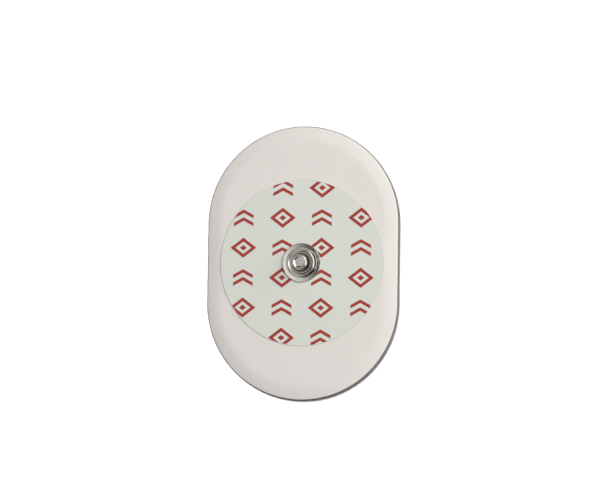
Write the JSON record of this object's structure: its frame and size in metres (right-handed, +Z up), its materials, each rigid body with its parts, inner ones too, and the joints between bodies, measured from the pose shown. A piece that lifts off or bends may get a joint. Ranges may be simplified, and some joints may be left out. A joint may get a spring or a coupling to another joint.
{
  "type": "ecg electrode",
  "caption": "Disposable ECG electrode: oval foam pad with a round printed film label, a plated press stud over a coated sensor eyelet, conductive gel in a central well and a release liner.",
  "frame": {"origin": "centre of the release liner's underside, on the stud's axis", "axes": "+X across the pad, +Y along the pad, +Z up out of the pad along the stud's axis"},
  "size_m": [0.05, 0.0706, 0.0051],
  "materials": {
    "nickel_plate": "bright nickel plate on drawn sheet",
    "silver_coating": "matt silver and silver chloride coat on moulded plastic",
    "label_film": "satin film with red print",
    "foam": "closed-cell polyethylene foam",
    "gel": "wet solid hydrogel",
    "liner_film": "clear release film"
  },
  "bodies": {
    "root": {"snap_stud": "nickel_plate", "sensor_eyelet": "silver_coating", "label_disc": "label_film", "foam_pad": "foam", "gel_disc": "gel", "release_liner": "liner_film"}
  },
  "joints": []
}
